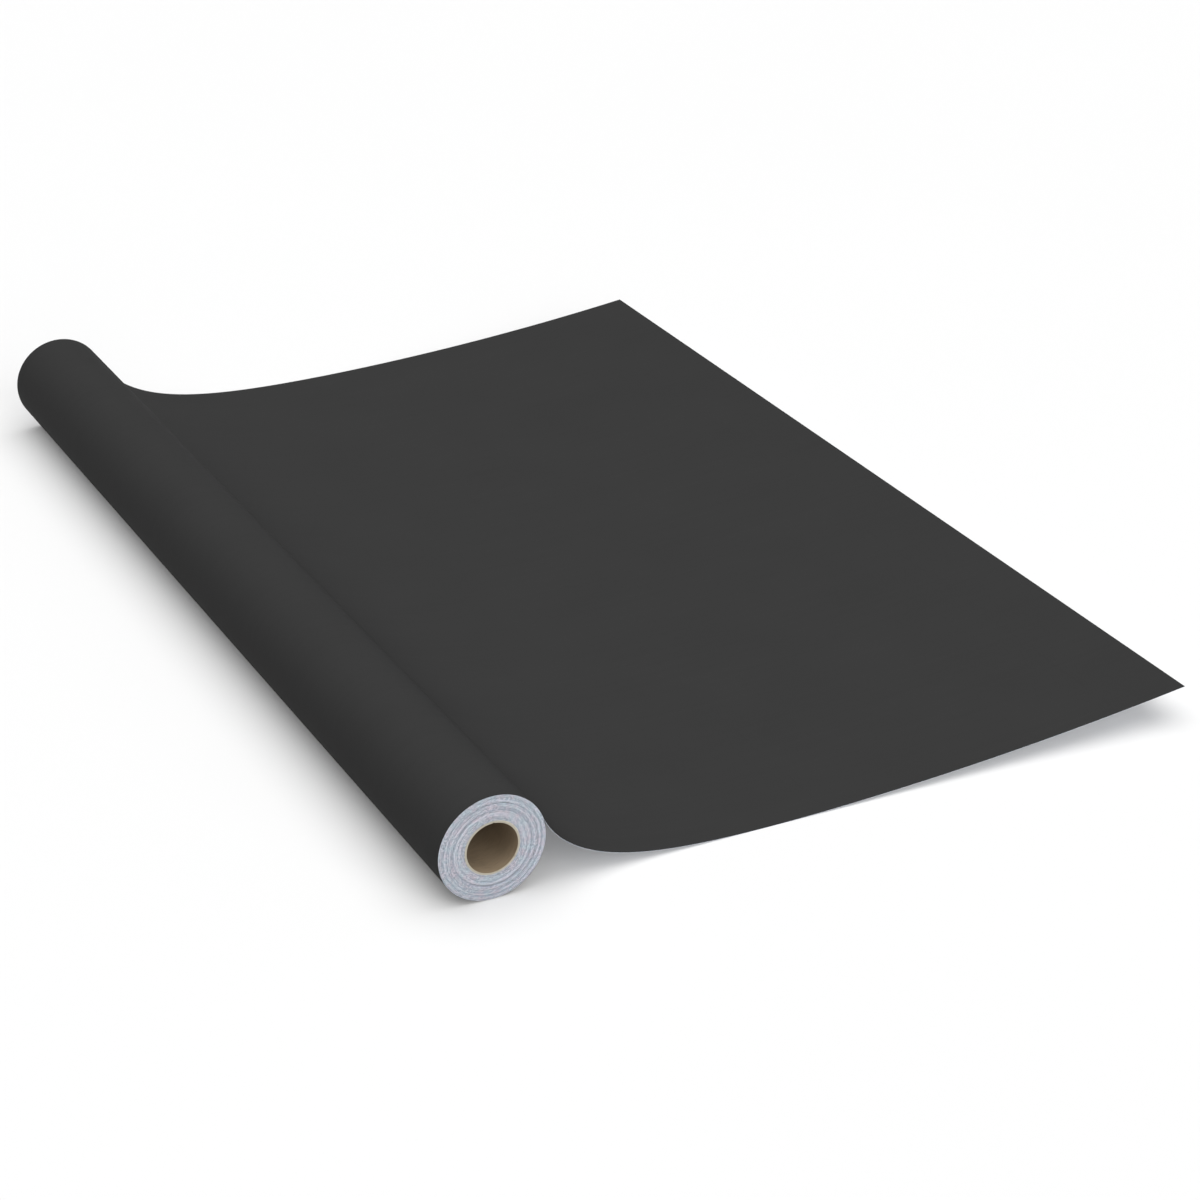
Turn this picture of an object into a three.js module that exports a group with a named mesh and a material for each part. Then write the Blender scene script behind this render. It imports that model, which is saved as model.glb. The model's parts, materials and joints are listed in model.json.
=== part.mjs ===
// A roll of self-adhesive sign vinyl, partly unrolled on a table.
// Millimetres, +Z up. The roll's axis runs along Y and the web leaves over the top towards +X.
// The web is a PVC film on a paper release liner, wound on a spiral paper core.
import * as THREE from "three";

// Roll and core. A radius is taken to the middle of a facet, so a round bar fits the bore.
const WEB_WIDTH = 900;
const ROLL_RADIUS = 40;
const BORE_RADIUS = 19;
const PLY_THICKNESS = 0.5;
const PLY_COUNT = 3;
const PLY_LEAD = 170; // advance of a ply along the core in one turn
const PLY_BUTT_GAP = 0.4; // between neighbouring turns of one ply
const FACETS = 24;

// Web.
const FILM_THICKNESS = 0.12; // PVC face film with its adhesive coat
const LINER_THICKNESS = 0.13;
const LAPS_PER_TURN = 8; // real laps that one turn of the wound solids stands for
const TIP_THICKNESS = 0.105; // thinnest end of a wound solid, against the core or the last lap
const START_TAPE_THICKNESS = 0.15;
const START_TAPE_WIDTH = 24;

// Unrolled stretch, measured along the web from the line where it leaves the roll.
const LEAVE_ANGLE = 67.5; // degrees past the top of the roll
const FREE_LENGTH = 560;
const SHEET_START = 160;
const TAIL_START = 285;
const PEEL_LENGTH = 60; // strip of film at the cut end that lifts off the liner
const FLEX_GAP = 0.3; // between solids that turn on each other
const TABLE_SLOPE = 2.65; // degrees, downward slope that the curl starts from
const CURL_RADIUS = 3000; // of the web's lasting upward curl
const BEND_SHARPNESS = 1.1;
const BEND_STEP = 8; // longest step between stations in the bend
const FLAT_STEP = 28; // and past it
const TRACE_STEP = 1; // longest step that the web's slope is added up in
const SHORTEST_BEND = ROLL_RADIUS / 10;
const LONGEST_BEND = ROLL_RADIUS * 4;
const BEND_HALVINGS = 60;

const FILM = { color: 0x3c3d3f, roughness: 0.55, metalness: 0 };
const LINER = { color: 0xb4b8c4, roughness: 0.8, metalness: 0 };
const KRAFT = { color: 0xa3835c, roughness: 0.9, metalness: 0 };
const TAPE = { color: 0xd9cfa8, roughness: 0.7, metalness: 0 };

const webThickness = FILM_THICKNESS + LINER_THICKNESS;
const coreRadius = BORE_RADIUS + PLY_COUNT * PLY_THICKNESS;
const packInner = coreRadius + START_TAPE_THICKNESS;
const packOuter = ROLL_RADIUS - webThickness;
const pitch = LAPS_PER_TURN * webThickness;
const facetAngle = (2 * Math.PI) / FACETS;
const cornerFactor = 1 / Math.cos(facetAngle / 2);
// Corners stand half a facet off the top, so the roll rests on a flat facet.
const leaveCorner = Math.round(THREE.MathUtils.degToRad(LEAVE_ANGLE) / facetAngle - 0.5);
const leaveAngle = (leaveCorner + 0.5) * facetAngle;

// The point of a facet's corner as [x, z] about the roll's axis, counted clockwise from the top.
function corner(radius, step) {
  const angle = (step + 0.5) * facetAngle;
  const reach = radius * cornerFactor;
  return [reach * Math.sin(angle), reach * Math.cos(angle)];
}

// A closed band through stations, each with an inner and an outer [x, z] point and its own reach
// in Y. The outer points lie to the left of the way it runs, seen from -Y.
function band(stations) {
  const positions = [];
  const index = [];
  for (const { inner, outer, low, high } of stations) {
    for (const [x, z] of [inner, outer]) positions.push(x, low, z, x, high, z);
  }
  const quad = (a, b, c, d) => index.push(a, b, c, a, c, d);
  for (let i = 0; i < 4 * (stations.length - 1); i += 4) {
    const [innerLow, innerHigh, outerLow, outerHigh] = [i, i + 1, i + 2, i + 3];
    quad(outerHigh, outerLow, outerLow + 4, outerHigh + 4);
    quad(innerLow, innerHigh, innerHigh + 4, innerLow + 4);
    quad(innerLow, innerLow + 4, outerLow + 4, outerLow);
    quad(innerHigh, outerHigh, outerHigh + 4, innerHigh + 4);
  }
  const end = 4 * (stations.length - 1);
  quad(1, 0, 2, 3);
  quad(end + 1, end + 3, end + 2, end);
  const geometry = new THREE.BufferGeometry();
  geometry.setAttribute("position", new THREE.Float32BufferAttribute(positions, 3));
  geometry.setIndex(index);
  geometry.computeVertexNormals();
  return geometry;
}

function piece(name, stations, finish) {
  const mesh = new THREE.Mesh(band(stations), new THREE.MeshStandardMaterial(finish));
  mesh.name = name;
  return mesh;
}

// One ply of the core: a strip wound along a helix and trimmed flush with both ends of the core.
// Each ply's butt joint is a share of the lead further round than that of the ply below.
function corePly(name, layer) {
  const inner = BORE_RADIUS + layer * PLY_THICKNESS;
  const offset = Math.round((layer * FACETS) / PLY_COUNT);
  const turns = Math.ceil(WEB_WIDTH / PLY_LEAD) + 2;
  const stations = [];
  for (let step = -FACETS; step < turns * FACETS; step++) {
    const edge = -WEB_WIDTH / 2 + (PLY_LEAD * step) / FACETS;
    const low = Math.max(edge, -WEB_WIDTH / 2);
    const high = Math.min(edge + PLY_LEAD - PLY_BUTT_GAP, WEB_WIDTH / 2);
    if (high - low < PLY_BUTT_GAP) continue;
    stations.push({
      inner: corner(inner, step + offset),
      outer: corner(inner + PLY_THICKNESS, step + offset),
      low,
      high,
    });
  }
  return piece(name, stations, KRAFT);
}

// A full-width strip around the roll between two radii, each given at every corner it passes.
function aroundRoll(firstStep, lastStep, innerAt, outerAt) {
  const stations = [];
  for (let step = firstStep; step <= lastStep; step++) {
    const [inner, outer] = [innerAt(step), outerAt(step)];
    if (outer - inner < TIP_THICKNESS) continue;
    stations.push({
      inner: corner(inner, step),
      outer: corner(outer, step),
      low: -WEB_WIDTH / 2,
      high: WEB_WIDTH / 2,
    });
  }
  return stations;
}

// One layer of the wound web, from one share of the pitch to another. The spiral is held between
// the core and the last lap, so that it fills the pack and tapers out at both ends.
function woundLayer(name, from, to, finish) {
  const radiusAt = (share) => (step) =>
    THREE.MathUtils.clamp(packInner + pitch * (step / FACETS - 1 + share), packInner, packOuter);
  const turns = Math.ceil((packOuter - packInner) / pitch) + 1;
  return piece(name, aroundRoll(0, turns * FACETS, radiusAt(from), radiusAt(to)), finish);
}

// One layer of the last lap, at its true thickness. It stops a facet short of a full turn, where
// the web leaves the roll over its own next lap.
function outerLap(name, inner, outer, finish) {
  const first = leaveCorner - FACETS + 1;
  return piece(name, aroundRoll(first, leaveCorner, () => inner, () => outer), finish);
}

// The strip of tape that holds the web's first lap to the core, along its whole length.
function startTape() {
  const facetWidth = 2 * coreRadius * Math.tan(facetAngle / 2);
  const facets = Math.max(1, Math.round(START_TAPE_WIDTH / facetWidth));
  return piece("start_tape", aroundRoll(0, facets, () => coreRadius, () => packInner), TAPE);
}

// The web's slope, in radians, at a distance along it: a lasting curl on which the bend from the
// leaving slope dies away.
function headingAt(distance, bendLength) {
  const slope = THREE.MathUtils.degToRad(TABLE_SLOPE);
  const curl = distance / CURL_RADIUS - slope;
  return curl - (leaveAngle - slope) * Math.exp(-((distance / bendLength) ** BEND_SHARPNESS));
}

// The film's outer face at each distance asked for, as points with the slope there.
function pathAt(distances, bendLength) {
  let [x, z] = corner(ROLL_RADIUS, leaveCorner);
  let travelled = 0;
  return distances.map((distance) => {
    const count = Math.ceil((distance - travelled) / TRACE_STEP);
    const step = (distance - travelled) / Math.max(count, 1);
    for (let i = 0; i < count; i++) {
      const heading = headingAt(travelled + step / 2, bendLength);
      x += step * Math.cos(heading);
      z += step * Math.sin(heading);
      travelled += step;
    }
    return { distance, x, z, heading: headingAt(distance, bendLength) };
  });
}

// The stations' distances between two places on the web, with steps no longer than asked.
function distancesBetween(start, end, longest) {
  const count = Math.max(1, Math.ceil((end - start) / longest));
  return Array.from({ length: count + 1 }, (_, i) => start + ((end - start) * i) / count);
}

// A point of the web at a depth below the film's outer face. On the leaving line it is the
// corner of the last lap, so that the two meet face to face.
function belowFace({ distance, x, z, heading }, depth) {
  if (distance === 0) return corner(ROLL_RADIUS - depth, leaveCorner);
  return [x + depth * Math.sin(heading), z - depth * Math.cos(heading)];
}

const free = [
  ...distancesBetween(0, SHEET_START, BEND_STEP),
  ...distancesBetween(SHEET_START, TAIL_START, FLAT_STEP),
  ...distancesBetween(TAIL_START + FLEX_GAP, FREE_LENGTH - PEEL_LENGTH - FLEX_GAP, FLAT_STEP),
  ...distancesBetween(FREE_LENGTH - PEEL_LENGTH, FREE_LENGTH, FLAT_STEP),
];

// The bend is as long as it must be for the web's lowest line to lie on the table, level with
// the roll's resting facet. A longer bend lands lower.
function landingBend() {
  let [shortest, longest] = [SHORTEST_BEND, LONGEST_BEND];
  for (let i = 0; i < BEND_HALVINGS; i++) {
    const middle = (shortest + longest) / 2;
    const lowest = Math.min(...pathAt(free, middle).map((p) => belowFace(p, webThickness)[1]));
    if (lowest < -ROLL_RADIUS) longest = middle;
    else shortest = middle;
  }
  return shortest;
}

const path = pathAt(free, landingBend());

// One layer of the unrolled web between two distances, from one depth to another.
function webLayer(name, start, end, top, bottom, finish) {
  const stations = path
    .filter(({ distance }, i) => {
      const again = i > 0 && path[i - 1].distance === distance;
      return distance >= start && distance <= end && !again;
    })
    .map((point) => ({
      inner: belowFace(point, bottom),
      outer: belowFace(point, top),
      low: -WEB_WIDTH / 2,
      high: WEB_WIDTH / 2,
    }));
  return piece(name, stations, finish);
}

const filmLayer = (name, start, end) => webLayer(name, start, end, 0, FILM_THICKNESS, FILM);
const linerLayer = (name, start, end) =>
  webLayer(name, start, end, FILM_THICKNESS, webThickness, LINER);

const roll = new THREE.Group();
roll.add(
  corePly("core_inner_ply", 0),
  corePly("core_middle_ply", 1),
  corePly("core_outer_ply", 2),
  startTape(),
  woundLayer("wound_liner", 0, LINER_THICKNESS / webThickness, LINER),
  woundLayer("wound_film", LINER_THICKNESS / webThickness, 1, FILM),
  outerLap("outer_lap_liner", packOuter, packOuter + LINER_THICKNESS, LINER),
  outerLap("outer_lap_film", packOuter + LINER_THICKNESS, ROLL_RADIUS, FILM),
);

const web = new THREE.Group();
web.add(
  linerLayer("bend_liner", 0, SHEET_START),
  filmLayer("bend_film", 0, SHEET_START),
  linerLayer("sheet_liner", SHEET_START, TAIL_START),
  filmLayer("sheet_film", SHEET_START, TAIL_START),
  linerLayer("tail_liner", TAIL_START + FLEX_GAP, FREE_LENGTH),
  filmLayer("tail_film", TAIL_START + FLEX_GAP, FREE_LENGTH - PEEL_LENGTH - FLEX_GAP),
  filmLayer("peel_film", FREE_LENGTH - PEEL_LENGTH, FREE_LENGTH),
);

// The assembly stands on the table with the middle of its footprint at the origin.
const assembly = new THREE.Group();
assembly.add(roll, web);
const box = new THREE.Box3().setFromObject(assembly);
assembly.position.set(-(box.min.x + box.max.x) / 2, 0, -box.min.z);

const object = new THREE.Group();
object.add(assembly);

export default object;
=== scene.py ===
"""A roll of self-adhesive sign vinyl, partly unrolled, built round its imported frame.

The web is a thin PVC film on a paper release liner. It is wound on a spiral paper core, leaves the
roll over the top, comes down in a bend and lies on the table with its cut end curling up.
Everything is in metres, +Z up, with the roll's axis along Y and the web running off towards +X.
"""

import json
import logging
import math
from dataclasses import dataclass, field
from enum import Enum, IntEnum

import bpy
import numpy as np
from mathutils import Matrix, Vector


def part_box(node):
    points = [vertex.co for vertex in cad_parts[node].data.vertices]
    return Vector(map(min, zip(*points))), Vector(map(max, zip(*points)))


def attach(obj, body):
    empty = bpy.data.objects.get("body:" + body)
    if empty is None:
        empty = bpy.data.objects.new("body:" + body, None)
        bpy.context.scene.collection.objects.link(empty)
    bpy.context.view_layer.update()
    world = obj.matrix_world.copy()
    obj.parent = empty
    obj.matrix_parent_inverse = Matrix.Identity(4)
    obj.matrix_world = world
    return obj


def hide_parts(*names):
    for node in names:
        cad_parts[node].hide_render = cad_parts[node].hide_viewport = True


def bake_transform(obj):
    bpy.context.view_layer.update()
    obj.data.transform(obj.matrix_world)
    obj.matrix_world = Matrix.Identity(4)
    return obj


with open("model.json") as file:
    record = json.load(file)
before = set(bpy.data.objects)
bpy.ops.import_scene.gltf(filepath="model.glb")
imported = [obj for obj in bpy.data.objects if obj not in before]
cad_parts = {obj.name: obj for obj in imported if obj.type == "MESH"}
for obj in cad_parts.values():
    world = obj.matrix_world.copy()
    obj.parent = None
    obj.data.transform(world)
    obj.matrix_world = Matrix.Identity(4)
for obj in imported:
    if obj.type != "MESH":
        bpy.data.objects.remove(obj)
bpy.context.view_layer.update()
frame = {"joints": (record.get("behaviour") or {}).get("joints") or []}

MM = 0.001
RIM = 0.15 * MM  # how far inside a sharp rim a surface is still level
FULL_TURN = 2.0 * math.pi

log = logging.getLogger("sign_vinyl")


# --------------------------------------------------------------------------------------------
# Sizes that the frame gives
# --------------------------------------------------------------------------------------------


class Joint(Enum):
    """The joints whose lines set where the web's pieces are cut."""

    TAIL_LIFT = "tail_lift"
    FILM_PEEL = "film_peel"

    def line(self) -> Vector:
        """A point on the joint's axis."""
        return Vector(next(j["pos_m"] for j in frame["joints"] if j["name"] == self.value))


@dataclass(frozen=True)
class RollSizes:
    """The roll's sizes, read from the boxes of the frame's nodes."""

    axis_x: float
    axis_z: float
    half_width: float
    radius: float
    film_thickness: float
    liner_thickness: float
    core_radius: float
    ply_thickness: float
    tape_thickness: float

    @staticmethod
    def from_frame() -> "RollSizes":
        """Reads the sizes off the frame.

        Returns:
            The sizes, with each radius half the height of the node that ends at it.
        """

        def half_height(node: str) -> float:
            low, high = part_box(node)
            return (high.z - low.z) / 2

        low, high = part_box("outer_lap_film")
        radius = (high.z - low.z) / 2
        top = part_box("outer_lap_liner")[1].z
        pack_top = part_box("wound_film")[1].z
        core = half_height("core_outer_ply")
        tape_low, tape_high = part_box("start_tape")
        axis_z = (high.z + low.z) / 2
        return RollSizes(
            axis_x=(high.x + low.x) / 2,
            axis_z=axis_z,
            half_width=high.y,
            radius=radius,
            film_thickness=high.z - top,
            liner_thickness=top - pack_top,
            core_radius=core,
            ply_thickness=core - half_height("core_middle_ply"),
            tape_thickness=tape_high.z - axis_z - core,
        )

    @property
    def web_thickness(self) -> float:
        """Film and liner together."""
        return self.film_thickness + self.liner_thickness


# --------------------------------------------------------------------------------------------
# The web's route
# --------------------------------------------------------------------------------------------


@dataclass(frozen=True)
class Route:
    """Points of the film's outer face, with the way that the face looks at each."""

    points: np.ndarray
    normals: np.ndarray
    distance: np.ndarray

    def below(self, depth: float) -> np.ndarray:
        """The points of the surface at a depth under the film's outer face."""
        return self.points - depth * self.normals


@dataclass
class WebPath:
    """The curve of the web, seen along the roll's axis.

    Wound on the roll it is a spiral that loses one web thickness in each turn inwards. Off the
    roll its slope is a lasting curl, on which the bend from the leaving slope dies away:
    slope = curl - (leaving slope + curl at the roll) * exp(-(distance / bend length) ** sharpness).
    The bend length is the one that brings the web's lowest line down to the table.
    """

    sizes: RollSizes
    leave_angle: float = math.radians(67.5)
    free_length: float = 560 * MM
    table_slope: float = math.radians(2.65)
    curl_radius: float = 3.0
    sharpness: float = 1.1
    trace_step: float = 0.25 * MM
    shortest_bend: float = 10  # as a divisor of the roll's radius
    longest_bend: float = 4  # in roll radii
    halvings: int = 50
    bend_length: float = field(init=False)

    def __post_init__(self) -> None:
        """Finds the bend length by halving."""
        short, long = self.sizes.radius / self.shortest_bend, self.sizes.radius * self.longest_bend
        for _ in range(self.halvings):
            self.bend_length = (short + long) / 2
            if self._underside_low() < 0:
                long = self.bend_length
            else:
                short = self.bend_length

    def _slope(self, distance: np.ndarray) -> np.ndarray:
        """The web's slope at distances along it from the leaving line, in radians."""
        curl = distance / self.curl_radius - self.table_slope
        fall = self.leave_angle - self.table_slope
        return curl - fall * np.exp(-((distance / self.bend_length) ** self.sharpness))

    def _trace(self) -> tuple[np.ndarray, np.ndarray, np.ndarray]:
        """Adds up short steps along the slope, each at its two ends' mean.

        Returns:
            The distances and the x and z of the film's outer face there.
        """
        s = np.linspace(0, self.free_length, round(self.free_length / self.trace_step) + 1)
        slope = self._slope(s)
        middle = (slope[1:] + slope[:-1]) / 2
        step = np.diff(s)
        start_x = self.sizes.axis_x + self.sizes.radius * math.sin(self.leave_angle)
        start_z = self.sizes.axis_z + self.sizes.radius * math.cos(self.leave_angle)
        x = start_x + np.concatenate([[0], np.cumsum(step * np.cos(middle))])
        z = start_z + np.concatenate([[0], np.cumsum(step * np.sin(middle))])
        return s, x, z

    def _underside_low(self) -> float:
        """The height of the lowest point of the liner's back."""
        s, _, z = self._trace()
        return float((z - self.sizes.web_thickness * np.cos(self._slope(s))).min())

    def free(self, distance: np.ndarray) -> Route:
        """The unrolled web at distances from the leaving line.

        Args:
            distance: Distances along the web, from 0 to the free length.

        Returns:
            The film's outer face there.
        """
        s, x, z = self._trace()
        slope = self._slope(distance)
        points = np.stack([np.interp(distance, s, x), np.interp(distance, s, z)], axis=1)
        normals = np.stack([-np.sin(slope), np.cos(slope)], axis=1)
        return Route(points, normals, distance)

    def wound(self, inward: np.ndarray) -> Route:
        """The wound web at angles of winding inwards from the leaving line.

        The radius is the roll's less one web thickness for each full turn.

        Args:
            inward: Angles in radians, 0 at the leaving line and growing inwards.

        Returns:
            The film's outer face there, at distances that are negative on the roll.
        """
        radius = self.sizes.radius - self.sizes.web_thickness * inward / FULL_TURN
        angle = self.leave_angle - inward
        normals = np.stack([np.sin(angle), np.cos(angle)], axis=1)
        centre = np.array([self.sizes.axis_x, self.sizes.axis_z])
        middle = (self.sizes.radius + radius) / 2
        return Route(centre + radius[:, None] * normals, normals, -middle * inward)

    def distance_at(self, x: float) -> float:
        """The distance along the free web at which its outer face has an x."""
        s, xs, _ = self._trace()
        return float(np.interp(x, xs, s))


# --------------------------------------------------------------------------------------------
# Meshes
# --------------------------------------------------------------------------------------------


class Side(IntEnum):
    """The material slots of a strip: the face that looks out, the back, and the cut edges."""

    FACE = 0
    BACK = 1
    EDGE = 2


@dataclass
class Strip:
    """A thin closed strip: two grids of points, one for the face and one for the back.

    Attributes:
        face: The face's points, [station, place across, xyz].
        back: The back's points in the same order.
        along: Each station's distance along the strip, which the UV map's u holds.
    """

    face: np.ndarray
    back: np.ndarray
    along: np.ndarray

    @staticmethod
    def between(outer: np.ndarray, inner: np.ndarray, across: np.ndarray, along: np.ndarray) -> "Strip":
        """Carries two lines in the XZ plane across the strip's width.

        Args:
            outer: The face's [x, z] at each station.
            inner: The back's [x, z] at each station.
            across: The y of each place across, at each station.
            along: Each station's distance along the strip.

        Returns:
            The strip.
        """

        def grid(line: np.ndarray) -> np.ndarray:
            x, z = (np.broadcast_to(line[:, k, None], across.shape) for k in (0, 1))
            return np.stack([x, across, z], axis=2)

        return Strip(grid(outer), grid(inner), along)

    def _faces(self) -> tuple[np.ndarray, np.ndarray]:
        """The strip's quads, facing outwards, and the material slot of each.

        Face and back are grids of quads, and four rows of quads join their rims.
        """
        rows, columns = self.face.shape[:2]
        face = np.arange(rows * columns).reshape(rows, columns)
        back = face + rows * columns

        def quads(*corners: np.ndarray) -> np.ndarray:
            return np.stack([c.ravel() for c in corners], axis=1)

        parts = [
            (quads(face[:-1, 1:], face[:-1, :-1], face[1:, :-1], face[1:, 1:]), Side.FACE),
            (quads(back[:-1, :-1], back[:-1, 1:], back[1:, 1:], back[1:, :-1]), Side.BACK),
            (quads(back[:-1, 0], back[1:, 0], face[1:, 0], face[:-1, 0]), Side.EDGE),
            (quads(back[:-1, -1], face[:-1, -1], face[1:, -1], back[1:, -1]), Side.EDGE),
            (quads(back[0, 1:], back[0, :-1], face[0, :-1], face[0, 1:]), Side.EDGE),
            (quads(back[-1, 1:], face[-1, 1:], face[-1, :-1], back[-1, :-1]), Side.EDGE),
        ]
        sides = np.concatenate([np.full(len(q), side, np.int32) for q, side in parts])
        return np.concatenate([q for q, _ in parts]), sides

    def build(self, name: str, materials: dict[Side, bpy.types.Material]) -> bpy.types.Object:
        """Makes the strip's object, with a UV map in metres along and across.

        Args:
            name: The object's name.
            materials: The material of each side.

        Returns:
            The object, linked to the scene.
        """
        faces, sides = self._faces()
        points = np.concatenate([self.face.reshape(-1, 3), self.back.reshape(-1, 3)])
        mesh = bpy.data.meshes.new(name)
        mesh.vertices.add(len(points))
        mesh.vertices.foreach_set("co", points.astype(np.float32).ravel())
        mesh.loops.add(faces.size)
        mesh.loops.foreach_set("vertex_index", faces.astype(np.int32).ravel())
        mesh.polygons.add(len(faces))
        mesh.polygons.foreach_set("loop_start", np.arange(0, faces.size, 4, dtype=np.int32))
        mesh.polygons.foreach_set("use_smooth", sides != Side.EDGE)
        mesh.polygons.foreach_set("material_index", sides)
        along = np.repeat(self.along, self.face.shape[1])
        uv = np.stack([np.concatenate([along, along]), points[:, 1]], axis=1)
        layer = mesh.uv_layers.new(name="web")
        layer.data.foreach_set("uv", uv[faces.ravel()].astype(np.float32).ravel())
        for side in Side:
            mesh.materials.append(materials[side])
        mesh.update(calc_edges=True)
        mesh.validate()
        piece = bpy.data.objects.new(name, mesh)
        bpy.context.scene.collection.objects.link(piece)
        return piece


def spread(start: np.ndarray | float, end: np.ndarray | float, parts: int, close: float) -> np.ndarray:
    """Even places between two ends, with one more place just inside each end.

    The places inside the ends hold the shading of the surface level up to its rims.

    Args:
        start: The first place, or an array of them with one for each row.
        end: The last place, or an array of them.
        parts: How many equal parts the even places make.
        close: How far the extra places stand from the ends.

    Returns:
        The places in order, along the last axis.
    """
    first, last = np.asarray(start)[..., None], np.asarray(end)[..., None]
    way = np.sign(last - first)
    even = first + (last - first) * np.linspace(0, 1, parts + 1)
    places = [even[..., :1], first + way * close, even[..., 1:-1], last - way * close, even[..., -1:]]
    return np.concatenate(places, axis=-1)


# --------------------------------------------------------------------------------------------
# Finishes
# --------------------------------------------------------------------------------------------


Triple = tuple[float, float, float]
Colour = Triple
Span = tuple[float, float]

NOISE_RANGE = (0.3, 0.7)  # where most of a noise's values lie
MIX_COLOURS = (6, 7)  # the places of the colour inputs on a Mix node
MIX_RESULT = 2  # and of its colour output


def shaded(colour: Colour, factor: float) -> Colour:
    """A colour made lighter or darker by a factor."""
    return tuple(min(1.0, c * factor) for c in colour)


@dataclass(frozen=True)
class Gloss:
    """How a surface shines: the shader's roughness and its specular level."""

    roughness: float
    specular: float


@dataclass(frozen=True)
class Pattern:
    """Noise over a surface.

    Attributes:
        scale: Its features in a metre.
        detail: Its octaves.
        depth: How deep it is embossed, in metres.
        stretch: The factors on the place that it is read at, along, across and out.
    """

    scale: float
    detail: float = 3.0
    depth: float = 0.0
    stretch: Triple = (1, 1, 1)


class Shader:
    """A material under construction: a Principled shader and the nodes that feed it."""

    def __init__(self, name: str, gloss: Gloss) -> None:
        """Starts a material.

        Args:
            name: The material's name.
            gloss: How it shines, until a node feeds its roughness.
        """
        self.material = bpy.data.materials.new(name)
        self.material.use_nodes = True
        self.tree = self.material.node_tree
        self.surface = next(n for n in self.tree.nodes if n.type == "BSDF_PRINCIPLED")
        self.surface.inputs["Roughness"].default_value = gloss.roughness
        self.surface.inputs["Specular IOR Level"].default_value = gloss.specular

    def node(self, kind: str, settings: dict | None = None, **inputs: object) -> bpy.types.Node:
        """Adds a node.

        Args:
            kind: The node's type without its prefix.
            settings: Properties to set on the node.
            **inputs: Values or sockets for its inputs, by name with _ for a space, or in0, in1
                and so on by place.

        Returns:
            The node.
        """
        made = self.tree.nodes.new("ShaderNode" + kind)
        for key, value in (settings or {}).items():
            setattr(made, key, value)
        for key, value in inputs.items():
            at = int(key[2:]) if key[:2] == "in" and key[2:].isdigit() else key.replace("_", " ")
            if isinstance(value, bpy.types.NodeSocket):
                self.tree.links.new(value, made.inputs[at])
            else:
                made.inputs[at].default_value = value
        return made

    def maths(self, operation: str, *values: object) -> bpy.types.NodeSocket:
        """The result of a Math node on values or sockets."""
        places = {f"in{i}": value for i, value in enumerate(values)}
        return self.node("Math", {"operation": operation}, **places).outputs[0]

    def vector(self, operation: str, *values: object) -> bpy.types.Node:
        """A Vector Math node on values or sockets."""
        places = {f"in{i}": value for i, value in enumerate(values)}
        return self.node("VectorMath", {"operation": operation}, **places)

    def object_place(self) -> bpy.types.NodeSocket:
        """Object coordinates."""
        return self.node("TexCoord").outputs["Object"]

    def web_place(self, stretch: Triple = (1, 1, 1), turn: float = 0.0) -> bpy.types.NodeSocket:
        """The strip's own UV map, stretched by factors and turned in its plane."""
        place = self.node("UVMap", {"uv_map": "web"}).outputs[0]
        return self.node("Mapping", None, Vector=place, Scale=stretch, Rotation=(0, 0, turn)).outputs[0]

    def noise(self, place: bpy.types.NodeSocket, pattern: Pattern) -> bpy.types.NodeSocket:
        """A pattern's noise, from 0 to 1, at a place."""
        made = self.node("TexNoise", None, Vector=place, Scale=pattern.scale, Detail=pattern.detail)
        return made.outputs[0]

    def ranged(
        self, value: bpy.types.NodeSocket, to: Span = (0, 1), source: Span = NOISE_RANGE
    ) -> bpy.types.NodeSocket:
        """A value mapped so that the ends of a source range become those of another, held at both."""
        made = self.node("MapRange", None, Value=value)
        made.inputs["From Min"].default_value, made.inputs["From Max"].default_value = source
        made.inputs["To Min"].default_value, made.inputs["To Max"].default_value = to
        return made.outputs[0]

    def mixed(self, share: bpy.types.NodeSocket, *colours: object) -> bpy.types.NodeSocket:
        """A colour between two, by a share from 0 to 1."""
        made = self.node("Mix", {"data_type": "RGBA"}, in0=share)
        for place, colour in zip(MIX_COLOURS, colours):
            if isinstance(colour, bpy.types.NodeSocket):
                self.tree.links.new(colour, made.inputs[place])
            else:
                made.inputs[place].default_value = (*colour, 1)
        return made.outputs[MIX_RESULT]

    def mottled(self, value: bpy.types.NodeSocket, colour: Colour, shades: Span) -> bpy.types.NodeSocket:
        """A colour that goes from one shade of itself to another with a noise's value."""
        return self.mixed(self.ranged(value), *(shaded(colour, factor) for factor in shades))

    def blended(
        self, first: bpy.types.NodeSocket, second: bpy.types.NodeSocket, share: float
    ) -> bpy.types.NodeSocket:
        """The sum of a share of one value and the rest of another."""
        return self.maths(
            "ADD", self.maths("MULTIPLY", first, share), self.maths("MULTIPLY", second, 1 - share))

    def feed(self, socket: str, value: bpy.types.NodeSocket) -> None:
        """Links a value to one of the shader's sockets."""
        self.tree.links.new(value, self.surface.inputs[socket])

    def relief(self, height: bpy.types.NodeSocket, pattern: Pattern) -> None:
        """Gives the shader a bump as deep as a pattern."""
        made = self.node("Bump", None, Height=height, Distance=pattern.depth, Strength=1.0)
        self.feed("Normal", made.outputs[0])


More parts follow.
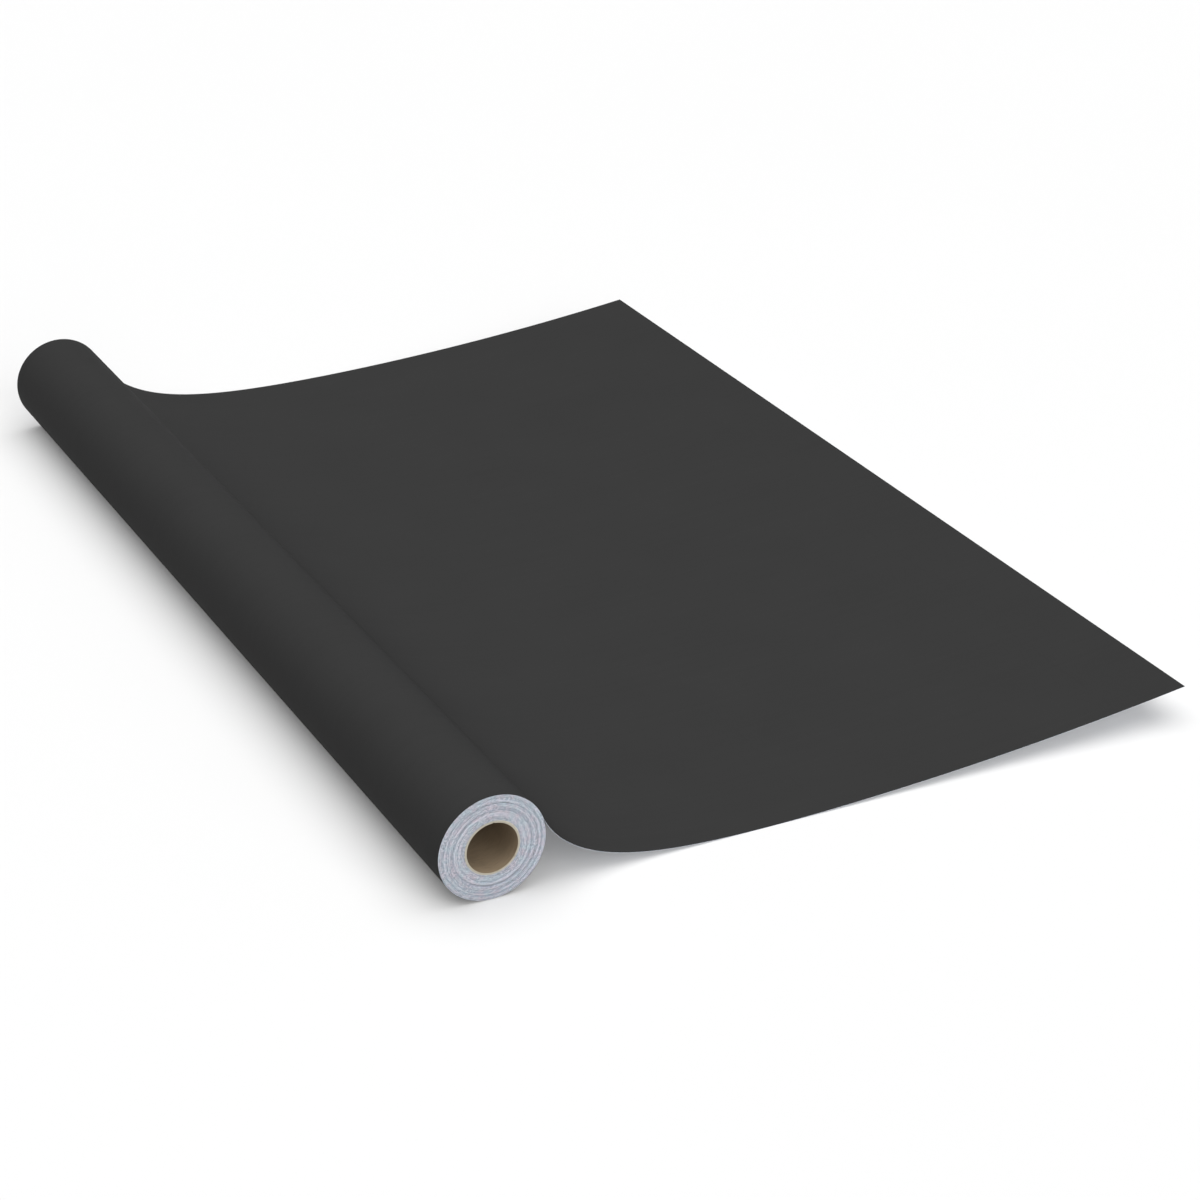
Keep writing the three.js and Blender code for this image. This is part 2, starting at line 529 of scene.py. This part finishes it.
@dataclass(frozen=True)
class FilmFinish:
    """Matt anthracite PVC film: its face, its adhesive back and its cut edges."""

    face: Colour = (0.0315, 0.0315, 0.0315)
    face_shades: Span = (0.965, 1.035)
    face_gloss: Gloss = Gloss(0.72, 0.02)
    roughness_swing: float = 0.04
    clouds: Pattern = Pattern(14.0, 4.0)
    cloud_share: float = 0.6
    streaks: Pattern = Pattern(4.0, 2.0, stretch=(1.5, 60, 1))
    grain: Pattern = Pattern(1900.0, 2.0, depth=0.02 * MM)

    adhesive: Colour = (0.075, 0.078, 0.082)
    adhesive_shades: Span = (0.92, 1.08)
    adhesive_gloss: Gloss = Gloss(0.24, 0.5)
    patches: Pattern = Pattern(60.0)
    orange_peel: Pattern = Pattern(900.0, 2.0, depth=0.02 * MM)

    edge: Colour = (0.050, 0.052, 0.058)
    edge_shades: Span = (0.7, 1.3)
    edge_gloss: Gloss = Gloss(0.7, 0.3)
    smears: Pattern = Pattern(700.0)

    def materials(self) -> dict[Side, bpy.types.Material]:
        """The film's material on each side."""
        return {Side.FACE: self._face(), Side.BACK: self._adhesive(), Side.EDGE: self._edge()}

    def _face(self) -> bpy.types.Material:
        """Fine embossed grain, with slight streaks along the web and soft clouds in the grey."""
        shader = Shader("vinyl_face", self.face_gloss)
        place = shader.web_place()
        clouds = shader.noise(place, self.clouds)
        streaks = shader.noise(shader.web_place(self.streaks.stretch), self.streaks)
        both = shader.blended(clouds, streaks, self.cloud_share)
        shader.feed("Base Color", shader.mottled(both, self.face, self.face_shades))
        middle, swing = self.face_gloss.roughness, self.roughness_swing
        shader.feed("Roughness", shader.ranged(clouds, (middle - swing, middle + swing)))
        shader.relief(shader.noise(place, self.grain), self.grain)
        return shader.material

    def _adhesive(self) -> bpy.types.Material:
        """Clear tacky coat on the film's grey back, with a fine orange peel."""
        shader = Shader("film_adhesive", self.adhesive_gloss)
        place = shader.web_place()
        patches = shader.noise(place, self.patches)
        shader.feed("Base Color", shader.mottled(patches, self.adhesive, self.adhesive_shades))
        shader.relief(shader.noise(place, self.orange_peel), self.orange_peel)
        return shader.material

    def _edge(self) -> bpy.types.Material:
        """Cut PVC, grey right through, with smears of adhesive that the knife has drawn over it."""
        shader = Shader("film_cut_edge", self.edge_gloss)
        smears = shader.noise(shader.object_place(), self.smears)
        shader.feed("Base Color", shader.mottled(smears, self.edge, self.edge_shades))
        return shader.material


@dataclass(frozen=True)
class LinerFinish:
    """Release liner: a satin silicone face, a printed back and pale cut edges in rings.

    Attributes:
        fine_ink: How much ink the grid's fine lines hold, from 0 to 1.
        heavy_ink: The same for its heavy lines.
        heavy_every: How many fine pitches there are from one heavy line to the next.
        heavy_width: A heavy line's width, in widths of a fine one.
        ring_pitches: The pitches of the coarse and the fine rings in the cut edges.
        ring_wander: How far a slower noise pushes the rings about.
        fleck_weight: How much the flecks count for beside one set of rings.
        crush_range: The sums of rings and flecks at which the paper is most crushed and whole.
        most_crushed: The share of the crushed colour where it is strongest.
        patch_range: The noise values at which the edge is all cool and all rosy.
        axis: The roll's axis, as x and z.
    """

    silicone: Colour = (0.53, 0.555, 0.60)
    silicone_shades: Span = (0.96, 1.03)
    silicone_gloss: Gloss = Gloss(0.32, 0.45)
    silicone_fibres: Pattern = Pattern(500.0, 4.0, depth=0.006 * MM, stretch=(1, 2.5, 1))

    paper: Colour = (0.60, 0.625, 0.675)
    paper_shades: Span = (0.95, 1.03)
    paper_gloss: Gloss = Gloss(0.75, 0.3)
    paper_fibres: Pattern = Pattern(420.0, 5.0, depth=0.01 * MM, stretch=(1, 2, 1))
    grid: Colour = (0.30, 0.37, 0.51)
    grid_pitch: float = 10 * MM
    grid_line: float = 0.25 * MM
    fine_ink: float = 0.45
    heavy_ink: float = 0.8
    heavy_every: int = 5
    heavy_width: float = 2.0

    edge: Colour = (0.66, 0.76, 0.84)
    blush: Colour = (0.78, 0.72, 0.81)
    crushed: Colour = (0.27, 0.32, 0.39)
    edge_gloss: Gloss = Gloss(0.8, 0.25)
    ring_pitches: tuple[float, float] = (3.6 * MM, 1.3 * MM)
    ring_wander: float = 0.9 * MM
    wander: Pattern = Pattern(40.0, 1.0)
    flecks: Pattern = Pattern(620.0, depth=0.04 * MM)
    fleck_weight: float = 2.0
    crush_range: Span = (1.72, 2.2)
    most_crushed: float = 0.75
    patches: Pattern = Pattern(160.0)
    patch_range: Span = (0.38, 0.62)
    axis: tuple[float, float] = (0.0, 0.0)

    def materials(self) -> dict[Side, bpy.types.Material]:
        """The liner's material on each side."""
        return {Side.FACE: self._silicone(), Side.BACK: self._back(), Side.EDGE: self._edge()}

    def _silicone(self) -> bpy.types.Material:
        """Coated paper with a soft satin sheen and faint fibres."""
        shader = Shader("liner_silicone", self.silicone_gloss)
        fibres = shader.noise(shader.web_place(self.silicone_fibres.stretch), self.silicone_fibres)
        shader.feed("Base Color", shader.mottled(fibres, self.silicone, self.silicone_shades))
        shader.relief(fibres, self.silicone_fibres)
        return shader.material

    def _grid_lines(self, shader: Shader, pitch: float, line: float) -> bpy.types.NodeSocket:
        """1 on a square grid's lines and 0 between them.

        A line is where the distance to the nearest multiple of the pitch, along the web or
        across it, is less than half the line's width.
        """
        split = shader.node("SeparateXYZ", None, Vector=shader.web_place()).outputs
        off = [shader.maths("PINGPONG", split[k], pitch / 2) for k in (0, 1)]
        return shader.maths("LESS_THAN", shader.maths("MINIMUM", *off), line / 2)

    def _back(self) -> bpy.types.Material:
        """Uncoated paper with a pale cutting grid of fine and heavy lines."""
        shader = Shader("liner_back_grid", self.paper_gloss)
        fibres = shader.noise(shader.web_place(self.paper_fibres.stretch), self.paper_fibres)
        paper = shader.mottled(fibres, self.paper, self.paper_shades)
        fine = self._grid_lines(shader, self.grid_pitch, self.grid_line)
        heavy = self._grid_lines(
            shader, self.grid_pitch * self.heavy_every, self.grid_line * self.heavy_width)
        inks = (
            shader.maths("MULTIPLY", fine, self.fine_ink),
            shader.maths("MULTIPLY", heavy, self.heavy_ink),
        )
        shader.feed("Base Color", shader.mixed(shader.maths("MAXIMUM", *inks), paper, self.grid))
        shader.relief(fibres, self.paper_fibres)
        return shader.material

    def _rings(self, shader: Shader, place: bpy.types.NodeSocket) -> list[bpy.types.NodeSocket]:
        """Noise on the distance from the roll's axis, at each ring pitch.

        A slower noise is added to the distance first, so that the rings wander.
        """
        centre = (self.axis[0], 0.0, self.axis[1])
        arm = shader.vector("SUBTRACT", place, centre).outputs[0]
        flat = shader.vector("MULTIPLY", arm, (1, 0, 1)).outputs[0]
        radius = shader.vector("LENGTH", flat).outputs[1]
        wander = shader.maths("MULTIPLY", shader.noise(place, self.wander), self.ring_wander)
        pushed = shader.maths("ADD", radius, wander)
        line = {"noise_dimensions": "1D"}
        turns = [shader.maths("DIVIDE", pushed, pitch) for pitch in self.ring_pitches]
        return [shader.node("TexNoise", line, W=turn, Scale=1.0, Detail=1.0).outputs[0] for turn in turns]

    def _edge(self) -> bpy.types.Material:
        """Cut paper, in uneven rings about the roll's axis with cool and rosy patches.

        Crushed fibres darken it in flecks that favour the dark rings.
        """
        shader = Shader("liner_cut_edge", self.edge_gloss)
        place = shader.object_place()
        rings = shader.maths("ADD", *self._rings(shader, place))
        flecks = shader.noise(place, self.flecks)
        uneven = shader.maths("ADD", rings, shader.maths("MULTIPLY", flecks, self.fleck_weight))
        crush = shader.ranged(uneven, (self.most_crushed, 0.0), self.crush_range)
        patches = shader.noise(place, self.patches)
        tone = shader.mixed(shader.ranged(patches, source=self.patch_range), self.edge, self.blush)
        shader.feed("Base Color", shader.mixed(crush, tone, self.crushed))
        shader.relief(flecks, self.flecks)
        return shader.material


@dataclass(frozen=True)
class BoardFinish:
    """Kraft core board: brown faces with fibres, and a paler cut end."""

    face: Colour = (0.265, 0.202, 0.134)
    face_shades: Span = (0.78, 1.2)
    face_gloss: Gloss = Gloss(0.82, 0.25)
    fibres: Pattern = Pattern(3.0, 6.0, depth=0.05 * MM, stretch=(40, 420, 1))
    fibre_share: float = 0.6
    clouds: Pattern = Pattern(45.0, 4.0)
    winding_angle: float = math.radians(54)

    cut: Colour = (0.40, 0.37, 0.30)
    cut_shades: Span = (0.72, 1.1)
    cut_gloss: Gloss = Gloss(0.85, 0.2)
    cut_fibres: Pattern = Pattern(1500.0, 4.0, depth=0.08 * MM)

    def materials(self) -> dict[Side, bpy.types.Material]:
        """The board's material on each side."""
        board = self._face()
        return {Side.FACE: board, Side.BACK: board, Side.EDGE: self._cut()}

    def _face(self) -> bpy.types.Material:
        """Brown board with fibres that lie along the winding and soft darker clouds."""
        shader = Shader("core_kraft", self.face_gloss)
        along = shader.web_place(self.fibres.stretch, self.winding_angle)
        fibres = shader.noise(along, self.fibres)
        clouds = shader.noise(shader.object_place(), self.clouds)
        both = shader.blended(fibres, clouds, self.fibre_share)
        shader.feed("Base Color", shader.mottled(both, self.face, self.face_shades))
        shader.relief(fibres, self.fibres)
        return shader.material

    def _cut(self) -> bpy.types.Material:
        """The sawn end of the board, cream with short dark fibres."""
        shader = Shader("core_cut_end", self.cut_gloss)
        fibres = shader.noise(shader.object_place(), self.cut_fibres)
        shader.feed("Base Color", shader.mottled(fibres, self.cut, self.cut_shades))
        shader.relief(fibres, self.cut_fibres)
        return shader.material


@dataclass(frozen=True)
class TapeFinish:
    """Cream paper tape with a fine crepe."""

    face: Colour = (0.70, 0.62, 0.42)
    shades: Span = (0.9, 1.08)
    gloss: Gloss = Gloss(0.7, 0.3)
    crepe: Pattern = Pattern(700.0, depth=0.03 * MM, stretch=(1, 6, 1))

    def materials(self) -> dict[Side, bpy.types.Material]:
        """The tape's one material on every side."""
        shader = Shader("core_tape", self.gloss)
        crepe = shader.noise(shader.web_place(self.crepe.stretch), self.crepe)
        shader.feed("Base Color", shader.mottled(crepe, self.face, self.shades))
        shader.relief(crepe, self.crepe)
        return {side: shader.material for side in Side}


@dataclass(frozen=True)
class FloorFinish:
    """A plain pale light table, whose faint glow softens the contact shadows."""

    colour: Colour = (0.62, 0.62, 0.62)
    shades: Span = (0.995, 1.0)
    gloss: Gloss = Gloss(0.9, 0.1)
    clouds: Pattern = Pattern(1.5, 2.0)
    glow: float = 0.12

    def material(self) -> bpy.types.Material:
        """Pale matt paint with the faintest unevenness."""
        shader = Shader("studio_floor", self.gloss)
        clouds = shader.noise(shader.object_place(), self.clouds)
        shader.feed("Base Color", shader.mottled(clouds, self.colour, self.shades))
        shader.surface.inputs["Emission Color"].default_value = (1, 1, 1, 1)
        shader.surface.inputs["Emission Strength"].default_value = self.glow
        return shader.material


# --------------------------------------------------------------------------------------------
# The studio
# --------------------------------------------------------------------------------------------


@dataclass(frozen=True)
class Lamp:
    """A very soft far light: how strong and how wide it is, and how it leans from overhead."""

    name: str
    strength: float
    spread: float
    lean: tuple[float, float]

    def hang(self) -> None:
        """Adds the light to the scene."""
        data = bpy.data.lights.new(self.name, "SUN")
        data.energy = self.strength
        data.angle = self.spread
        light = bpy.data.objects.new(self.name, data)
        light.rotation_euler = (*self.lean, 0)
        bpy.context.scene.collection.objects.link(light)


@dataclass(frozen=True)
class Studio:
    """The camera, the light and the floor."""

    azimuth: float = math.radians(-28.42)
    elevation: float = math.radians(26.53)
    tilt: float = math.radians(1.414)
    distance: float = 2.3418
    target: tuple[float, float, float] = (0.0057, -0.0840, 0.0)
    lens: float = 86.73
    sky: float = 0.10
    lamps: tuple[Lamp, ...] = (
        Lamp("overhead_softbox", strength=3.3, spread=math.radians(80), lean=(0.0, 0.0)),
        Lamp(
            "front_softbox",
            strength=2.2,
            spread=math.radians(55),
            lean=(math.radians(67), math.radians(2)),
        ),
    )
    floor_size: float = 30.0
    view_depth: float = 100.0

    def set_camera(self) -> None:
        """Puts the camera on a line from the target, turned about its own axis by the tilt."""
        data = bpy.data.cameras.new("studio_camera")
        data.lens = self.lens
        data.clip_end = self.view_depth
        camera = bpy.data.objects.new("studio_camera", data)
        flat = math.cos(self.elevation)
        back = Vector((
            math.sin(self.azimuth) * flat, -math.cos(self.azimuth) * flat, math.sin(self.elevation)))
        turn = back.to_track_quat("Z", "Y").to_matrix() @ Matrix.Rotation(self.tilt, 3, "Z")
        camera.matrix_world = Matrix.Translation(Vector(self.target) + back * self.distance) @ turn.to_4x4()
        bpy.context.scene.collection.objects.link(camera)
        bpy.context.scene.camera = camera

    def set_light(self) -> None:
        """A faint even sky, which looks white beyond the floor's edge, and the soft lamps."""
        scene = bpy.context.scene
        scene.view_settings.view_transform = "Standard"
        world = bpy.data.worlds.new("studio_sky")
        world.use_nodes = True
        tree = world.node_tree
        sky = next(n for n in tree.nodes if n.type == "BACKGROUND")
        sky.inputs["Color"].default_value = (1, 1, 1, 1)
        seen = tree.nodes.new("ShaderNodeLightPath").outputs["Is Camera Ray"]
        strength = tree.nodes.new("ShaderNodeMapRange")
        strength.inputs["To Min"].default_value = self.sky
        tree.links.new(seen, strength.inputs["Value"])
        tree.links.new(strength.outputs[0], sky.inputs["Strength"])
        scene.world = world
        for lamp in self.lamps:
            lamp.hang()

    def set_floor(self) -> None:
        """A wide flat floor at the height that the roll stands on."""
        half = self.floor_size / 2
        mesh = bpy.data.meshes.new("studio_floor")
        corners = [(-half, -half, 0), (half, -half, 0), (half, half, 0), (-half, half, 0)]
        mesh.from_pydata(corners, [], [(0, 1, 2, 3)])
        mesh.materials.append(FloorFinish().material())
        floor = bpy.data.objects.new("studio_floor", mesh)
        bpy.context.scene.collection.objects.link(floor)


# --------------------------------------------------------------------------------------------
# The object
# --------------------------------------------------------------------------------------------


def report(piece: bpy.types.Object) -> None:
    """Logs a finished piece."""
    log.info("%s: %d faces", piece.name, len(piece.data.polygons))


@dataclass
class Core:
    """The paper core: plies wound as helical strips and trimmed flush, and the start tape."""

    sizes: RollSizes
    nodes: tuple[str, ...] = ("core_inner_ply", "core_middle_ply", "core_outer_ply")
    lead: float = 170 * MM
    butt_gap: float = 0.4 * MM
    steps_per_turn: int = 96
    tape_width: float = 24 * MM
    tape_steps: int = 24

    def _ring(self, radius: float, angle: np.ndarray) -> np.ndarray:
        """Points at a radius about the roll's axis, at angles clockwise from the top."""
        centre = np.array([self.sizes.axis_x, self.sizes.axis_z])
        return centre + radius * np.stack([np.sin(angle), np.cos(angle)], axis=1)

    def _ply(self, layer: int) -> Strip:
        """A strip whose edge climbs by the lead in each turn, held between the core's two ends.

        Args:
            layer: The ply's place from the bore outwards. Its butt joint stands a share of a
                turn further round than the last ply's.

        Returns:
            The ply.
        """
        half = self.sizes.half_width
        turns = 2 * half / self.lead
        step = np.arange(-self.steps_per_turn, math.ceil((turns + 1) * self.steps_per_turn))
        edge = -half + self.lead * step / self.steps_per_turn
        low = np.maximum(edge, -half)
        high = np.minimum(edge + self.lead - self.butt_gap, half)
        kept = high - low > self.butt_gap
        angle = step[kept] * FULL_TURN / self.steps_per_turn + layer * FULL_TURN / len(self.nodes)
        outer_radius = self.sizes.core_radius - (len(self.nodes) - 1 - layer) * self.sizes.ply_thickness
        inner_radius = outer_radius - self.sizes.ply_thickness
        across = spread(low[kept], high[kept], 1, RIM)
        return Strip.between(
            self._ring(outer_radius, angle), self._ring(inner_radius, angle), across, outer_radius * angle)

    def _tape(self) -> Strip:
        """An arc of tape as long as the core."""
        radius = self.sizes.core_radius
        angle = np.linspace(0, self.tape_width / radius, self.tape_steps + 1)
        half = self.sizes.half_width
        across = np.tile(spread(-half, half, 1, RIM), (len(angle), 1))
        outer = self._ring(radius + self.sizes.tape_thickness, angle)
        return Strip.between(outer, self._ring(radius, angle), across, radius * angle)

    def build(self) -> None:
        """Makes the plies and the tape, which turn with the roll."""
        board = BoardFinish().materials()
        for layer, node in enumerate(self.nodes):
            ply = self._ply(layer).build(f"{node}_board", board)
            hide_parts(node)
            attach(ply, "roll")
            report(ply)
        tape = self._tape().build("start_tape_strip", TapeFinish().materials())
        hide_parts("start_tape")
        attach(tape, "roll")
        report(tape)


@dataclass(frozen=True)
class Ply:
    """One of the web's two plies: where it lies under the film's outer face, and its looks."""

    name: str
    slot: str
    top: float
    bottom: float
    materials: dict[Side, bpy.types.Material]


@dataclass
class WoundWeb:
    """The part of the web that is on the roll: the last lap, and the laps under it.

    The laps don't lie quite flush. Their edges stand in and out by a sum of slow waves over the
    laps and round the roll, which shows as rings in the roll's ends.

    Attributes:
        path: The web's curve.
        steps_per_lap: The steps in one lap.
        lap_columns: The steps across the last lap, which is seen. The laps under it have one.
        close_share: How far inside its ends the last lap's extra stations stand, in steps.
        waves: How many waves are summed.
        wave_laps: The shortest and the longest period of a wave, in laps.
        most_round: The most whole waves that go round the roll.
        weave: The waves' overall height.
        seed: The seed of the waves at the near end; the far end has the next one.
    """

    path: WebPath
    steps_per_lap: int = 96
    lap_columns: int = 24
    close_share: float = 1 / 16
    waves: int = 14
    wave_laps: tuple[float, float] = (5, 40)
    most_round: int = 3
    weave: float = 0.16 * MM
    seed: int = 7

    @property
    def laps(self) -> int:
        """The laps that fit between the tape on the core and the roll's outside."""
        sizes = self.path.sizes
        depth = sizes.radius - sizes.core_radius - sizes.tape_thickness
        return int(depth / sizes.web_thickness)

    def _edge_offset(self, inward: np.ndarray, seed: int) -> np.ndarray:
        """How far the web's edge stands out at angles of winding.

        The sum of sine waves, each with a random period in laps, a random whole number of
        waves round the roll, and a random phase. It fades to nothing on the last lap.
        """
        random = np.random.default_rng(seed)
        period = random.uniform(*self.wave_laps, self.waves)
        round_roll = random.integers(0, self.most_round + 1, self.waves)
        phase = random.uniform(0, FULL_TURN, self.waves)
        turn = inward[:, None] / FULL_TURN
        angle = FULL_TURN * turn / period + round_roll * inward[:, None] + phase
        total = np.sin(angle).sum(axis=1) * self.weave / math.sqrt(self.waves)
        return total * np.clip(inward / FULL_TURN - 1, 0, 1)

    def _strip(self, ply: Ply, inward: np.ndarray, columns: int) -> Strip:
        """The ply between angles of winding, given from the innermost outwards."""
        route = self.path.wound(inward)
        half = self.path.sizes.half_width
        low = -half - self._edge_offset(inward, self.seed)
        high = half + self._edge_offset(inward, self.seed + 1)
        across = spread(low, high, columns, RIM) if columns > 1 else np.stack([low, high], axis=1)
        return Strip.between(route.below(ply.top), route.below(ply.bottom), across, route.distance)

    def build(self, ply: Ply) -> None:
        """Makes the ply's last lap and the laps under it.

        Args:
            ply: The film or the liner.
        """
        step = FULL_TURN / self.steps_per_lap
        lap = spread(FULL_TURN, 0, self.steps_per_lap, step * self.close_share)
        inner = np.arange(self.laps * self.steps_per_lap, self.steps_per_lap - 1, -1) * step
        for name, angles, columns, node in (
            (f"{ply.name}_outer_lap", lap, self.lap_columns, f"outer_lap_{ply.name}"),
            (f"{ply.name}_wound", inner, 1, f"wound_{ply.name}"),
        ):
            piece = self._strip(ply, angles, columns).build(f"{name}_ply", ply.materials)
            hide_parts(node)
            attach(piece, "roll")
            report(piece)


@dataclass
class FreeWeb:
    """The unrolled part of the web, in pieces that follow its curve, cut at places set by the joints' lines.

    Attributes:
        path: The web's curve.
        step: The longest step between stations.
        columns: The steps across.
        still: How far from the leaving line a point of the bend is found; its x is not used further.
        before_lift: How far before the lifting joint's line the tail's pieces start.
        lift_lead: A distance before that line; not used.
        lift_reach: A distance past that line; not used.
        peel_reach: A distance past the peeling joint's line; not used.
    """

    path: WebPath
    step: float = 1.5 * MM
    columns: int = 30
    still: float = 100 * MM
    before_lift: float = 40 * MM
    lift_lead: float = 36 * MM
    lift_reach: float = 84 * MM
    peel_reach: float = 56 * MM

    def _piece(
        self, ply: Ply, name: str, start: float, end: float, nodes: tuple[str, ...]
    ) -> bpy.types.Object:
        """A stretch of one ply.

        Args:
            ply: The film or the liner.
            name: The stretch's name.
            start: Where it starts, as a distance from the leaving line.
            end: Where it ends.
            nodes: The frame's nodes that it stands for.

        Returns:
            The piece.
        """
        route = self.path.free(spread(start, end, math.ceil((end - start) / self.step), RIM))
        half = self.path.sizes.half_width
        across = np.tile(spread(-half, half, self.columns, RIM), (len(route.distance), 1))
        strip = Strip.between(route.below(ply.top), route.below(ply.bottom), across, route.distance)
        piece = strip.build(name, ply.materials)
        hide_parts(*nodes)
        report(piece)
        return piece

    def build(self, film: Ply, liner: Ply) -> None:
        """Makes the bend with the stretch on the table, the tail and the strip past the peeling joint's line.

        Args:
            film: The film.
            liner: The liner, which is one piece to the cut end.
        """
        lift, peel = Joint.TAIL_LIFT.line(), Joint.FILM_PEEL.line()
        lifts_at = self.path.distance_at(lift.x)
        peels_at = self.path.distance_at(peel.x)
        tail_starts = lifts_at - self.before_lift
        still_x = float(self.path.free(np.array([self.still])).points[0, 0])
        for ply in (film, liner):
            kind = ply.name
            bend = self._piece(ply, f"{kind}_bend_ply", 0, tail_starts, (f"bend_{kind}", f"sheet_{kind}"))
            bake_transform(bend)
            end = peels_at if ply is film else self.path.free_length
            tail = self._piece(ply, f"{kind}_tail_ply", tail_starts, end, (f"tail_{kind}",))
            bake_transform(tail)
        strip = self._piece(film, "film_peel_strip", peels_at, self.path.free_length, ("peel_film",))
        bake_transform(strip)


def main() -> None:
    """Builds the studio, the core and the web, and reports each piece."""
    logging.basicConfig(level=logging.INFO, format="%(name)s %(message)s")
    studio = Studio()
    studio.set_camera()
    studio.set_light()
    studio.set_floor()
    sizes = RollSizes.from_frame()
    path = WebPath(sizes)
    log.info("bend length %.2f mm", path.bend_length / MM)
    film = Ply("film", "vinyl_film", 0.0, sizes.film_thickness, FilmFinish().materials())
    liner_finish = LinerFinish(axis=(sizes.axis_x, sizes.axis_z))
    liner = Ply("liner", "release_liner", sizes.film_thickness, sizes.web_thickness, liner_finish.materials())
    Core(sizes).build()
    wound = WoundWeb(path)
    log.info("%d laps on the roll", wound.laps)
    for ply in (film, liner):
        wound.build(ply)
    FreeWeb(path).build(film, liner)


if __name__ == "__main__":
    main()
